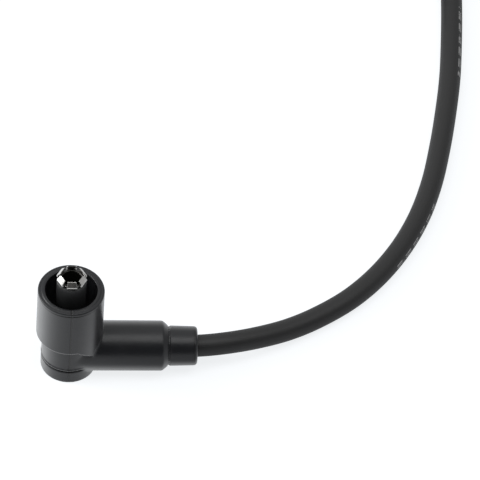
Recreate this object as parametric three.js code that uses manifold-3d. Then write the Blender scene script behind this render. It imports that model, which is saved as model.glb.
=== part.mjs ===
// An ignition lead: an elbow boot with a crown contact on its stalk, a long rubber cable lying on the
// ground, wound into a tied coil, and a straight plug boot on the far end. Millimetres, +Z up.
// The origin is the centre of the elbow boot's flat base, and the boot's sleeve points along +X.
import * as THREE from "three";
import { mergeVertices } from "three/addons/utils/BufferGeometryUtils.js";
import Module from "manifold-3d";

const wasm = await Module();
wasm.setup();

// Clearances that neighbours keep
const FIT_GAP = 0.3;
const GROUND_GAP = 0.05;

// Cable
const CABLE_DIAMETER = 7;

// Elbow terminal, pressed from brass sheet round a post
const CRIMP_WALL = 0.5;
const CRIMP_LENGTH = 14;
const CRIMP_START = 10.5;
const POST_RADIUS = 1.6;
const POST_HEAD_RADIUS = 2.2;
const POST_HEAD_HEIGHT = 1;

// Suppression resistor in the stalk
const RESISTOR_RADIUS = 1.8;
const RESISTOR_LENGTH = 13.9;
const CAP_WALL = 0.3;
const CAP_FLOOR = 0.4;
const CAP_LENGTH = 3;

// Stalk that carries the crown
const STALK_WALL = 2;
const STALK_FOOT_FLOOR = 1.9;
const STALK_FOOT_LIP = 1.5;
const STALK_FOOT_RISE = 1;
const STALK_FOOT_HEIGHT = 2;
const STALK_POST_GRIP = 5;
const STALK_EDGE = 0.3;

// Crown contact: a drawn cup with a rolled-out seat and leaning flat fingers
const CROWN_SHEET = 0.4;
const CROWN_SKIRT_RADIUS = 3.6;
const CROWN_SKIRT_DEPTH = 6;
const CROWN_FINGERS = 6;
const CROWN_FINGER_HEIGHT = 2.4;
const CROWN_MOUTH_RADIUS = 2.95;
const CROWN_SLOT_FOOT = 1.25;
const CROWN_SLOT_TOP = 0.7;
const CROWN_SLOT_DROP = 0.55;

// Elbow boot
const SLEEVE_WALL = 3.35;
const SLEEVE_TAPER = 0.41;
const SLEEVE_LENGTH = 28.9;
const CHAMFER_LENGTH = 2.2;
const COLLAR_WALL = 2.4;
const COLLAR_LENGTH = 9.3;
const COLLAR_TAPER = 0.2;
const COLLAR_ROUND = 1.1;
const COLLAR_GROOVE_WIDTH = 0.7;
const COLLAR_GROOVE_DEPTH = 0.35;
const NECK_STEP = 0.65;
const FLANGE_LIP = 0.2;
const FLANGE_HEIGHT = 4.75;
const FLANGE_EDGE = 0.25;
const NECK_GROOVE_HEIGHT = 0.6;
const NECK_GROOVE_DEPTH = 0.5;
const NECK_BEAD = 0.35;
const CUP_STEP_HEIGHT = 15.25;
const CUP_STEP_EDGE = 0.5;
const CUP_HEIGHT = 19.25;
const CUP_FLOOR = 2;
const CUP_ROOM = 3.5;
const CUP_WALL = 2.3;
const CUP_RIM_EDGE = 0.45;
const CUP_FLOOR_ROUND = 1.2;
const GUSSET_START = 3.5;
const GUSSET_SLOPE = 0.95;

// Coil of cable, held by two ties
const COIL_CENTRE_X = 90.8;
const COIL_CENTRE_Y = 212;
const COIL_RADIUS = 38.5;
const COIL_TURNS = 2;
const COIL_PITCH = 7.15;
const TIE_THICKNESS = 1.1;
const TIE_WIDTH = 5;
const TIE_HEAD_DEPTH = 2.6;
const TIE_HEAD_HEIGHT = 6;
const TIE_ANGLES = [140, 300];

// Straight boot on the far end, its terminal and the wire clip round it
const PLUG_BOOT_X = 76;
const PLUG_BOOT_Y = 262;
const PLUG_BOOT_LENGTH = 62;
const PLUG_GRIP_RADIUS = 10;
const PLUG_BARREL_WALL = 3.4;
const PLUG_NECK_LENGTH = 9;
const PLUG_SHOULDER_LENGTH = 3.5;
const PLUG_RIBS = 3;
const PLUG_RIB_START = 15;
const PLUG_RIB_PITCH = 5;
const PLUG_RIB_WIDTH = 2.6;
const PLUG_BEAD_LENGTH = 5;
const PLUG_EDGE = 0.8;
const PLUG_MOUTH_CHAMFER = 1;
const PLUG_CRIMP_START = 19;
const PLUG_CRIMP_LENGTH = 12;
const SOCKET_RADIUS = 3.35;
const SOCKET_WALL = 0.5;
const SOCKET_LENGTH = 11;
const SOCKET_NECK = 2;
const SOCKET_SLOT_WIDTH = 1;
const SOCKET_SLOT_LENGTH = 6;
const CLIP_WIRE_RADIUS = 0.4;
const CLIP_PLACE = 4;
const CLIP_OPENING = 50;

// Number of sides of the round forms, from the boots down to the cable
const BOOT_SIDES = 40;
const SMALL_SIDES = 24;
const CABLE_SIDES = 12;
const WIRE_SIDES = 6;
const ARC_STEPS = 2;
const CABLE_STEP = 15;

// Sizes that follow from the ones above
const cableRadius = CABLE_DIAMETER / 2;
const cableBore = cableRadius + FIT_GAP;
const crimpRadius = cableBore + CRIMP_WALL;
const crimpPocket = crimpRadius + FIT_GAP;
const crimpEnd = CRIMP_START + CRIMP_LENGTH;
const collarRadius = cableBore + COLLAR_WALL;
const sleeveRadius = crimpPocket + SLEEVE_WALL;
const sleeveEndRadius = sleeveRadius - SLEEVE_TAPER;
const axisHeight = sleeveRadius + GROUND_GAP;
const neckRadius = sleeveRadius + NECK_STEP;
const flangeRadius = neckRadius + FLANGE_LIP;
const collarStart = SLEEVE_LENGTH + CHAMFER_LENGTH;
const collarEnd = collarStart + COLLAR_LENGTH;

const capRadius = RESISTOR_RADIUS + FIT_GAP + CAP_WALL;
const stalkBore = Math.max(capRadius, POST_HEAD_RADIUS) + FIT_GAP;
const stalkRadius = stalkBore + STALK_WALL;
const stalkFootRadius = stalkRadius + STALK_FOOT_LIP;
const postBore = POST_RADIUS + FIT_GAP;
const stalkBottom = axisHeight + POST_RADIUS + STALK_FOOT_FLOOR;
const postSeat = stalkBottom + STALK_POST_GRIP;
const postTop = postSeat + POST_HEAD_HEIGHT;
const lowerCapBottom = postTop + FIT_GAP;
const resistorBottom = lowerCapBottom + CAP_FLOOR + FIT_GAP;
const resistorTop = resistorBottom + RESISTOR_LENGTH;
const upperCapTop = resistorTop + FIT_GAP + CAP_FLOOR;
const crownFloor = upperCapTop + FIT_GAP;
const crownSeat = crownFloor + CROWN_SKIRT_DEPTH;
const stalkTop = crownSeat - FIT_GAP;
const crownTop = crownSeat + CROWN_FINGER_HEIGHT;

const cupInnerRadius = stalkRadius + CUP_ROOM;
const cupRadius = cupInnerRadius + CUP_WALL;
const cupRim = CUP_STEP_HEIGHT + CUP_HEIGHT;
const cupFloor = CUP_STEP_HEIGHT + CUP_FLOOR;

const lyingHeight = cableRadius + GROUND_GAP;
const coilBottom = TIE_THICKNESS + FIT_GAP;
const coilAxisHeight = coilBottom + cableRadius;
const coilInner = COIL_RADIUS - cableRadius;
const coilOuter = COIL_RADIUS + cableRadius;
const tailHeight = coilAxisHeight + COIL_TURNS * COIL_PITCH;
const coilTop = tailHeight - cableRadius - FIT_GAP;

const plugBore = SOCKET_RADIUS + SOCKET_WALL + FIT_GAP + 2 * CLIP_WIRE_RADIUS + FIT_GAP;
const plugBarrelRadius = plugBore + PLUG_BARREL_WALL;
const plugCrimpEnd = PLUG_CRIMP_START + PLUG_CRIMP_LENGTH;
const socketStart = plugCrimpEnd + SOCKET_NECK;
const socketEnd = socketStart + SOCKET_LENGTH;

// The cable's way over the ground: x, y and the rise above the height at which it lies.
// The lead runs from the elbow boot's collar to the coil, the tail from the top of the coil to the plug boot.
const LEAD_POINTS = [
  [50, 1.3, 3.8],
  [60, 5.2, 2.2],
  [70, 10.5, 0.7],
  [79.4, 16.2, 0],
  [89.7, 23.6, 0],
  [98.9, 33.3, 0],
  [106.9, 45, 0],
  [113.4, 58.3, 0],
  [118.2, 72.8, 0],
  [121.6, 88.1, 0],
  [124.3, 103.6, 0],
  [126.5, 119.4, 0],
  [127.8, 135.4, 0],
  [128.7, 151.6, 0],
  [129.1, 168, 0],
  [129.3, 188.5, 0.4],
];
const TAIL_POINTS = [
  [128, 202, 15.65],
  [129.3, 212, 15.65],
  [129.3, 222, 15.65],
  [125.6, 238.9, 15.55],
  [117.6, 250.3, 14.6],
  [106.2, 258.3, 12.2],
  [92.8, 261.8, 8.9],
  [83, 262, 7.1],
];

const rubber = new THREE.MeshStandardMaterial({ color: 0x2a2a2c, roughness: 0.55, metalness: 0 });
const jacket = new THREE.MeshStandardMaterial({ color: 0x1f1f21, roughness: 0.6, metalness: 0 });
const moulding = new THREE.MeshStandardMaterial({ color: 0x121213, roughness: 0.3, metalness: 0 });
const nickel = new THREE.MeshStandardMaterial({ color: 0xd2d2cc, roughness: 0.18, metalness: 1 });
const brass = new THREE.MeshStandardMaterial({ color: 0xb9934c, roughness: 0.35, metalness: 1 });
const steel = new THREE.MeshStandardMaterial({ color: 0xa3a5a6, roughness: 0.3, metalness: 1 });
const ceramic = new THREE.MeshStandardMaterial({ color: 0xded6c4, roughness: 0.5, metalness: 0 });
const nylon = new THREE.MeshStandardMaterial({ color: 0x18181a, roughness: 0.45, metalness: 0 });

const rad = THREE.MathUtils.degToRad;

// Rounds the corners [radius, height, fillet] of a closed outline, each fillet as a short arc.
function outline(corners) {
  return corners.flatMap(([x, y, fillet = 0], i) => {
    const corner = new THREE.Vector2(x, y);
    if (!fillet) {
      return [corner];
    }
    const [beforeX, beforeY] = corners.at(i - 1);
    const [afterX, afterY] = corners[(i + 1) % corners.length];
    const before = new THREE.Vector2(beforeX, beforeY).sub(corner).normalize();
    const after = new THREE.Vector2(afterX, afterY).sub(corner).normalize();
    const half = before.angleTo(after) / 2;
    const reach = fillet / Math.tan(half);
    const centre = before.clone().add(after).setLength(fillet / Math.sin(half)).add(corner);
    const from = corner.clone().addScaledVector(before, reach).sub(centre).angle();
    const to = corner.clone().addScaledVector(after, reach).sub(centre).angle();
    const sweep = THREE.MathUtils.euclideanModulo(to - from + Math.PI, 2 * Math.PI) - Math.PI;
    return Array.from({ length: ARC_STEPS + 1 }, (_, k) => {
      const angle = from + (sweep * k) / ARC_STEPS;
      return new THREE.Vector2(Math.cos(angle), Math.sin(angle)).multiplyScalar(fillet).add(centre);
    });
  });
}

// Turns an outline about the Z axis. It starts and ends on the axis, or closes on itself.
function revolve(corners, sides = SMALL_SIDES) {
  const points = outline(corners);
  if (points[0].x > 0) {
    points.push(points[0].clone());
  }
  return new THREE.LatheGeometry(points, sides).rotateX(Math.PI / 2);
}

// A closed geometry as a solid that can be joined and cut.
function solidOf(geometry) {
  const bare = geometry.clone();
  bare.deleteAttribute("normal");
  bare.deleteAttribute("uv");
  const merged = mergeVertices(bare, 1e-4);
  const corners = merged.index.array;
  const triangles = [];
  for (let i = 0; i < corners.length; i += 3) {
    const [a, b, c] = corners.slice(i, i + 3);
    if (a !== b && b !== c && c !== a) {
      triangles.push(a, b, c);
    }
  }
  return new wasm.Manifold(
    new wasm.Mesh({
      numProp: 3,
      vertProperties: merged.attributes.position.array,
      triVerts: Uint32Array.from(triangles),
    }),
  );
}

function geometryOf(solid) {
  const { vertProperties, triVerts } = solid.getMesh();
  const geometry = new THREE.BufferGeometry();
  geometry.setAttribute("position", new THREE.BufferAttribute(vertProperties, 3));
  geometry.setIndex(new THREE.BufferAttribute(triVerts, 1));
  geometry.computeVertexNormals();
  return geometry;
}

function piece(name, geometry, material) {
  const mesh = new THREE.Mesh(geometry, material);
  mesh.name = name;
  return mesh;
}

// Lays a form that was turned about Z along the sleeve, on the cable's axis.
function alongSleeve(geometry) {
  return geometry.rotateY(Math.PI / 2).translate(0, 0, axisHeight);
}

// The upright half of the boot: base flange, groove, neck and cup, filled in.
function uprightForm() {
  const grooveTop = FLANGE_HEIGHT + NECK_GROOVE_HEIGHT;
  const grooveRadius = neckRadius - NECK_GROOVE_DEPTH;
  return revolve(
    [
      [0, 0],
      [flangeRadius, 0, FLANGE_EDGE],
      [flangeRadius, FLANGE_HEIGHT, FLANGE_EDGE],
      [grooveRadius, FLANGE_HEIGHT],
      [grooveRadius, grooveTop],
      [neckRadius, grooveTop, NECK_BEAD],
      [neckRadius, CUP_STEP_HEIGHT],
      [cupRadius, CUP_STEP_HEIGHT, CUP_STEP_EDGE],
      [cupRadius, cupRim, CUP_RIM_EDGE],
      [0, cupRim],
    ],
    BOOT_SIDES,
  );
}

// The tapered sleeve with its chamfer, groove and collar, filled in.
function sleeveForm() {
  const grooveEnd = collarStart + COLLAR_GROOVE_WIDTH;
  return alongSleeve(
    revolve(
      [
        [0, 0],
        [sleeveRadius, 0],
        [sleeveEndRadius, SLEEVE_LENGTH],
        [collarRadius, collarStart],
        [collarRadius - COLLAR_GROOVE_DEPTH, collarStart],
        [collarRadius - COLLAR_GROOVE_DEPTH, grooveEnd],
        [collarRadius, grooveEnd],
        [collarRadius - COLLAR_TAPER, collarEnd, COLLAR_ROUND],
        [0, collarEnd],
      ],
      BOOT_SIDES,
    ),
  );
}

// The gusset under the cup: the cup's wall run on down to the sleeve, cut off by a slanting plane.
function gussetForm() {
  const foot = GUSSET_START + (CUP_STEP_HEIGHT - axisHeight) * GUSSET_SLOPE;
  const wall = revolve(
    [
      [0, axisHeight],
      [cupRadius, axisHeight],
      [cupRadius, CUP_STEP_HEIGHT + CUP_STEP_EDGE],
      [0, CUP_STEP_HEIGHT + CUP_STEP_EDGE],
    ],
    BOOT_SIDES,
  );
  const above = CUP_STEP_HEIGHT + 2 * CUP_STEP_EDGE;
  const side = new THREE.Shape()
    .moveTo(foot, axisHeight)
    .lineTo(foot + cupRadius, axisHeight)
    .lineTo(foot + cupRadius, above)
    .lineTo(GUSSET_START, above)
    .lineTo(GUSSET_START, CUP_STEP_HEIGHT);
  const keep = new THREE.ExtrudeGeometry(side, { depth: 2 * cupRadius, bevelEnabled: false })
    .rotateX(Math.PI / 2)
    .translate(0, cupRadius, 0);
  return solidOf(wall).intersect(solidOf(keep));
}

// The hollow that the stalk, its foot and the room round it take up in the boot.
function stalkHollow() {
  const footBottom = stalkBottom + STALK_FOOT_RISE;
  const footTop = footBottom + STALK_FOOT_HEIGHT;
  return revolve(
    [
      [0, axisHeight],
      [postBore, axisHeight],
      [postBore, stalkBottom - FIT_GAP],
      [stalkRadius + FIT_GAP, stalkBottom - FIT_GAP],
      [stalkRadius + FIT_GAP, footBottom - FIT_GAP],
      [stalkFootRadius + FIT_GAP, footBottom - FIT_GAP],
      [stalkFootRadius + FIT_GAP, footTop + FIT_GAP],
      [stalkRadius + FIT_GAP, footTop + FIT_GAP],
      [stalkRadius + FIT_GAP, cupFloor],
      [cupInnerRadius, cupFloor, CUP_FLOOR_ROUND],
      [cupInnerRadius, cupRim - CUP_RIM_EDGE],
      [cupInnerRadius + CUP_RIM_EDGE / 2, cupRim + CUP_RIM_EDGE],
      [0, cupRim + CUP_RIM_EDGE],
    ],
    BOOT_SIDES,
  );
}

// The bore along the sleeve: the knee of the terminal, the crimp's pocket and the cable's way out.
function sleeveHollow() {
  return alongSleeve(
    revolve([
      [0, -postBore],
      [postBore, -postBore],
      [postBore, CRIMP_START - FIT_GAP],
      [crimpPocket, CRIMP_START - FIT_GAP],
      [crimpPocket, crimpEnd + FIT_GAP],
      [cableBore, crimpEnd + FIT_GAP],
      [cableBore, collarEnd + FIT_GAP],
      [0, collarEnd + FIT_GAP],
    ]),
  );
}

function elbowBoot() {
  const boot = solidOf(uprightForm())
    .add(solidOf(sleeveForm()))
    .add(gussetForm())
    .subtract(solidOf(stalkHollow()))
    .subtract(solidOf(sleeveHollow()));
  return piece("elbow_boot", geometryOf(boot), rubber);
}

function stalkInsulator() {
  const footBottom = stalkBottom + STALK_FOOT_RISE;
  const footTop = footBottom + STALK_FOOT_HEIGHT;
  const skirtBore = CROWN_SKIRT_RADIUS + FIT_GAP;
  const stalk = revolve(
    [
      [postBore, stalkBottom],
      [stalkRadius, stalkBottom],
      [stalkRadius, footBottom],
      [stalkFootRadius, footBottom],
      [stalkFootRadius, footTop],
      [stalkRadius, footTop],
      [stalkRadius, stalkTop, STALK_EDGE],
      [skirtBore, stalkTop],
      [skirtBore, crownFloor - FIT_GAP],
      [stalkBore, crownFloor - FIT_GAP],
      [stalkBore, postSeat - FIT_GAP],
      [postBore, postSeat - FIT_GAP],
    ],
    BOOT_SIDES,
  );
  return piece("stalk_insulator", stalk, moulding);
}

// One slot between two fingers, wide at its round foot and narrower at the mouth.
function crownSlot(turn) {
  const foot = crownSeat - CROWN_SLOT_DROP;
  const half = CROWN_SLOT_FOOT / 2;
  const topHalf = CROWN_SLOT_TOP / 2;
  const top = crownTop + CROWN_SHEET;
  const side = new THREE.Shape()
    .moveTo(topHalf, top)
    .lineTo(-topHalf, top)
    .lineTo(-half, foot + half)
    .absarc(0, foot + half, half, Math.PI, 2 * Math.PI);
  const reach = stalkRadius + CROWN_SHEET;
  const inner = CROWN_MOUTH_RADIUS / 2;
  return solidOf(
    new THREE.ExtrudeGeometry(side, { depth: reach - inner, bevelEnabled: false, curveSegments: 6 })
      .rotateX(Math.PI / 2)
      .translate(0, -inner, 0)
      .rotateZ(turn),
  );
}

function contactCrown() {
  const skirtInner = CROWN_SKIRT_RADIUS - CROWN_SHEET;
  const seatTop = crownSeat + CROWN_SHEET;
  const cup = revolve(
    [
      [0, crownFloor],
      [CROWN_SKIRT_RADIUS, crownFloor],
      [CROWN_SKIRT_RADIUS, crownSeat],
      [stalkRadius, crownSeat],
      [stalkRadius, seatTop],
      [skirtInner, seatTop],
      [skirtInner, crownFloor + CROWN_SHEET],
      [0, crownFloor + CROWN_SHEET],
    ],
    BOOT_SIDES,
  );
  // The fingers start as a six-sided hood whose flats become the fingers once the slots are cut.
  const toCorner = 1 / Math.cos(Math.PI / CROWN_FINGERS);
  const footHalf = stalkRadius * Math.sin(Math.PI / CROWN_FINGERS) - CROWN_SLOT_FOOT / 2;
  const footFlat = Math.sqrt(stalkRadius ** 2 - footHalf ** 2);
  const hoodOutline = [
    [footFlat * toCorner, crownSeat],
    [footFlat * toCorner, seatTop],
    [(CROWN_MOUTH_RADIUS + CROWN_SHEET) * toCorner, crownTop],
    [CROWN_MOUTH_RADIUS * toCorner, crownTop],
    [(footFlat - CROWN_SHEET) * toCorner, seatTop],
    [(footFlat - CROWN_SHEET) * toCorner, crownSeat],
  ];
  const hood = revolve(hoodOutline, CROWN_FINGERS).rotateZ(Math.PI / CROWN_FINGERS);
  let crown = solidOf(cup).add(solidOf(hood));
  for (let i = 0; i < CROWN_FINGERS; i += 1) {
    const turn = (2 * Math.PI * (i + 0.5)) / CROWN_FINGERS;
    crown = crown.subtract(crownSlot(turn));
  }
  return piece("contact_crown", geometryOf(crown), nickel);
}

function resistorCap(name, outer, inner) {
  const toward = Math.sign(inner - outer);
  const floorInside = outer + toward * CAP_FLOOR;
  const corners = [
    [0, outer],
    [capRadius, outer],
    [capRadius, outer + toward * CAP_LENGTH],
    [capRadius - CAP_WALL, outer + toward * CAP_LENGTH],
    [capRadius - CAP_WALL, floorInside],
    [0, floorInside],
  ];
  return piece(name, revolve(toward > 0 ? corners : corners.reverse()), brass);
}

function suppressionResistor() {
  const rod = revolve([
    [0, resistorBottom],
    [RESISTOR_RADIUS, resistorBottom],
    [RESISTOR_RADIUS, resistorTop],
    [0, resistorTop],
  ]);
  return piece("suppression_resistor", rod, ceramic);
}

// The terminal's crimp lies along the sleeve and its post stands up into the stalk.
function elbowTerminal() {
  const barrel = alongSleeve(
    revolve([
      [0, 0],
      [POST_RADIUS, 0],
      [POST_RADIUS, CRIMP_START],
      [crimpRadius, CRIMP_START],
      [crimpRadius, crimpEnd],
      [cableBore, crimpEnd],
      [cableBore, CRIMP_START + CRIMP_WALL],
      [0, CRIMP_START + CRIMP_WALL],
    ]),
  );
  const post = revolve([
    [0, axisHeight],
    [POST_RADIUS, axisHeight],
    [POST_RADIUS, postSeat],
    [POST_HEAD_RADIUS, postSeat],
    [POST_HEAD_RADIUS, postTop],
    [0, postTop],
  ]);
  const knee = new THREE.SphereGeometry(POST_RADIUS, SMALL_SIDES, SMALL_SIDES / 2)
    .translate(0, 0, axisHeight);
  const terminal = solidOf(barrel).add(solidOf(post)).add(solidOf(knee));
  return piece("elbow_terminal", geometryOf(terminal), brass);
}

// A stretch of cable through the given points, with a section that has CABLE_SIDES sides.
function cable(name, points) {
  const route = new THREE.CatmullRomCurve3(points, false, "centripetal");
  const section = new THREE.Shape().absarc(0, 0, cableRadius, 0, 2 * Math.PI);
  const tube = new THREE.ExtrudeGeometry(section, {
    extrudePath: route,
    steps: Math.ceil(route.getLength() / CABLE_STEP),
    curveSegments: CABLE_SIDES / 2,
    bevelEnabled: false,
  });
  return piece(name, tube, jacket);
}

function onGround([x, y, rise]) {
  return new THREE.Vector3(x, y, lyingHeight + rise);
}

function cableLead() {
  const cableEnd = CRIMP_START + CRIMP_WALL + FIT_GAP;
  const inside = [cableEnd, (cableEnd + collarEnd) / 2, collarEnd];
  return cable("cable_lead", [
    ...inside.map((x) => new THREE.Vector3(x, 0, axisHeight)),
    ...LEAD_POINTS.map(onGround),
  ]);
}

function cableTail() {
  const cableEnd = PLUG_BOOT_X - plugCrimpEnd + CRIMP_WALL + FIT_GAP;
  const inside = [PLUG_BOOT_X, (PLUG_BOOT_X + cableEnd) / 2, cableEnd];
  return cable("cable_tail", [
    ...TAIL_POINTS.map(onGround),
    ...inside.map((x) => new THREE.Vector3(x, PLUG_BOOT_Y, PLUG_GRIP_RADIUS)),
  ]);
}

// The stack of turns as one ring.
function cableCoil() {
  const ring = revolve(
    [
      [coilInner, coilBottom, cableRadius / 2],
      [coilOuter, coilBottom, cableRadius / 2],
      [coilOuter, coilTop, cableRadius / 2],
      [coilInner, coilTop, cableRadius / 2],
    ],
    BOOT_SIDES,
  ).translate(COIL_CENTRE_X, COIL_CENTRE_Y, 0);
  return piece("cable_coil", ring, jacket);
}

// A tie: a strap round the turns with its head on the outside.
function coilTie(name, degrees) {
  const inner = coilInner - FIT_GAP;
  const outer = coilOuter + FIT_GAP;
  const top = coilTop + FIT_GAP;
  const strap = TIE_THICKNESS;
  const round = cableRadius / 2;
  const headMiddle = (strap + top) / 2;
  const band = new THREE.Shape(
    outline([
      [inner - strap, 0, round],
      [outer + strap, 0, round],
      [outer + strap, headMiddle - TIE_HEAD_HEIGHT / 2],
      [outer + strap + TIE_HEAD_DEPTH, headMiddle - TIE_HEAD_HEIGHT / 2],
      [outer + strap + TIE_HEAD_DEPTH, headMiddle + TIE_HEAD_HEIGHT / 2],
      [outer + strap, headMiddle + TIE_HEAD_HEIGHT / 2],
      [outer + strap, top + strap, round],
      [inner - strap, top + strap, round],
    ]),
  );
  band.holes.push(
    new THREE.Path(
      outline([
        [inner, strap, round / 2],
        [outer, strap, round / 2],
        [outer, top, round / 2],
        [inner, top, round / 2],
      ]),
    ),
  );
  const loop = new THREE.ExtrudeGeometry(band, { depth: TIE_WIDTH, bevelEnabled: false })
    .rotateX(Math.PI / 2)
    .translate(0, TIE_WIDTH / 2, 0);
  const tie = piece(name, loop, nylon);
  tie.position.set(COIL_CENTRE_X, COIL_CENTRE_Y, 0);
  tie.rotation.z = rad(degrees);
  return tie;
}

// The boot's outline from the cable's end at 0 to the mouth, and back along the bore.
function plugBoot() {
  const ribs = Array.from({ length: PLUG_RIBS }, (_, i) => PLUG_RIB_START + i * PLUG_RIB_PITCH);
  const beadStart = PLUG_BOOT_LENGTH - PLUG_BEAD_LENGTH;
  const boot = revolve(
    [
      [collarRadius, 0, PLUG_EDGE],
      [collarRadius, PLUG_NECK_LENGTH],
      [plugBarrelRadius, PLUG_NECK_LENGTH + PLUG_SHOULDER_LENGTH],
      ...ribs.flatMap((start) => [
        [plugBarrelRadius, start],
        [PLUG_GRIP_RADIUS, start, PLUG_EDGE],
        [PLUG_GRIP_RADIUS, start + PLUG_RIB_WIDTH, PLUG_EDGE],
        [plugBarrelRadius, start + PLUG_RIB_WIDTH],
      ]),
      [plugBarrelRadius, beadStart],
      [PLUG_GRIP_RADIUS, beadStart, PLUG_EDGE],
      [PLUG_GRIP_RADIUS, PLUG_BOOT_LENGTH, PLUG_EDGE],
      [plugBore + PLUG_MOUTH_CHAMFER, PLUG_BOOT_LENGTH],
      [plugBore, PLUG_BOOT_LENGTH - 2 * PLUG_MOUTH_CHAMFER],
      [plugBore, plugCrimpEnd + FIT_GAP],
      [crimpPocket, plugCrimpEnd + FIT_GAP],
      [crimpPocket, PLUG_CRIMP_START - FIT_GAP],
      [cableBore, PLUG_CRIMP_START - FIT_GAP],
      [cableBore, 0],
    ],
    BOOT_SIDES,
  );
  return piece("plug_boot", boot, rubber);
}

// Crimp, neck and slotted socket of the plug terminal.
function plugTerminal() {
  const socketOuter = SOCKET_RADIUS + SOCKET_WALL;
  const body = revolve([
    [0, plugCrimpEnd - CRIMP_WALL],
    [cableBore, plugCrimpEnd - CRIMP_WALL],
    [cableBore, PLUG_CRIMP_START],
    [crimpRadius, PLUG_CRIMP_START],
    [crimpRadius, plugCrimpEnd],
    [POST_RADIUS, plugCrimpEnd],
    [POST_RADIUS, socketStart],
    [socketOuter, socketStart],
    [socketOuter, socketEnd],
    [SOCKET_RADIUS, socketEnd],
    [SOCKET_RADIUS, socketStart + SOCKET_WALL],
    [0, socketStart + SOCKET_WALL],
  ]);
  const slotEnd = socketEnd + FIT_GAP;
  const slotDepth = SOCKET_SLOT_LENGTH + FIT_GAP;
  const slot = new THREE.BoxGeometry(SOCKET_SLOT_WIDTH, 2 * (socketOuter + FIT_GAP), slotDepth)
    .translate(0, 0, slotEnd - slotDepth / 2);
  const terminal = solidOf(body)
    .subtract(solidOf(slot))
    .subtract(solidOf(slot.clone().rotateZ(Math.PI / 2)));
  return piece("plug_terminal", geometryOf(terminal), brass);
}

// The open wire ring that springs round the socket.
function terminalClip() {
  const radius = SOCKET_RADIUS + SOCKET_WALL + FIT_GAP + CLIP_WIRE_RADIUS;
  const opening = rad(CLIP_OPENING);
  const turn = new THREE.EllipseCurve(0, 0, radius, radius, opening / 2, -opening / 2);
  const points = turn.getPoints(SMALL_SIDES).map(({ x, y }) => new THREE.Vector3(x, y, 0));
  const wire = new THREE.Shape().absarc(0, 0, CLIP_WIRE_RADIUS, 0, 2 * Math.PI);
  const ring = new THREE.ExtrudeGeometry(wire, {
    extrudePath: new THREE.CatmullRomCurve3(points),
    steps: SMALL_SIDES,
    curveSegments: WIRE_SIDES / 2,
    bevelEnabled: false,
  }).translate(0, 0, socketStart + CLIP_PLACE);
  return piece("terminal_clip", ring, steel);
}

// The elbow end, built about the stalk's upright axis.
const elbowEnd = new THREE.Group();
elbowEnd.add(
  elbowBoot(),
  stalkInsulator(),
  contactCrown(),
  resistorCap("resistor_cap_lower", lowerCapBottom, resistorBottom),
  suppressionResistor(),
  resistorCap("resistor_cap_upper", upperCapTop, resistorTop),
  elbowTerminal(),
);

// The plug end, built along its own axis from the cable to the mouth, then laid down towards -X.
const plugEnd = new THREE.Group();
plugEnd.add(plugBoot(), plugTerminal(), terminalClip());
plugEnd.position.set(PLUG_BOOT_X, PLUG_BOOT_Y, PLUG_GRIP_RADIUS);
plugEnd.rotation.y = -Math.PI / 2;

const lead = new THREE.Group();
lead.add(elbowEnd, cableLead(), cableCoil(), cableTail(), plugEnd);
TIE_ANGLES.forEach((degrees, i) => {
  lead.add(coilTie(`coil_tie_${i + 1}`, degrees));
});

export default lead;
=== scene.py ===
import math

import bmesh
import bpy
import numpy as np
from bpy.props import FloatProperty, FloatVectorProperty, IntProperty, PointerProperty
from mathutils import Matrix, Vector


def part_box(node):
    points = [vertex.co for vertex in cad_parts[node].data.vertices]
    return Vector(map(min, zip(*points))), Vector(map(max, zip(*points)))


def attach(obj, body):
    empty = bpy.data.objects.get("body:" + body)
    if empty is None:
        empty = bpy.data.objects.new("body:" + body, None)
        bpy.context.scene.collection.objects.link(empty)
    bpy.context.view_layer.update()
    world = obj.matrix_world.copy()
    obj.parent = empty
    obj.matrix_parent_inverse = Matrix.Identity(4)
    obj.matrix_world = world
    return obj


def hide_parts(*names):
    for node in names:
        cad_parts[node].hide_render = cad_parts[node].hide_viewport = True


bl_info = {
    "name": "Ignition Lead",
    "version": (1, 0, 0),
    "blender": (4, 5, 0),
    "location": "3D View > Sidebar > Ignition Lead",
    "description": "Dresses an ignition lead: elbow boot, crown contact, cable, coil ties and plug boot",
    "category": "Object",
}

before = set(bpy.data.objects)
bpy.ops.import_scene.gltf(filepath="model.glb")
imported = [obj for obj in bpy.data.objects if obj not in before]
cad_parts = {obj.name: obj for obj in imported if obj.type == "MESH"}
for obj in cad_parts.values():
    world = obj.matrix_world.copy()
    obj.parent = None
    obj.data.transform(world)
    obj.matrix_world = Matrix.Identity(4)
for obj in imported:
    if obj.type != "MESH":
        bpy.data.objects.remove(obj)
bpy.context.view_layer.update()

BODY = "root"

CABLE_CLEARANCE = 0.00004
STALK_CLEARANCE = 0.00008
CABLE_BORE_DEPTH = 0.016
TIE_ANGLES = (140, 300)
RIB_STARTS = (0.015, 0.020, 0.025)
RIB_WIDTH = 0.0026

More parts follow.
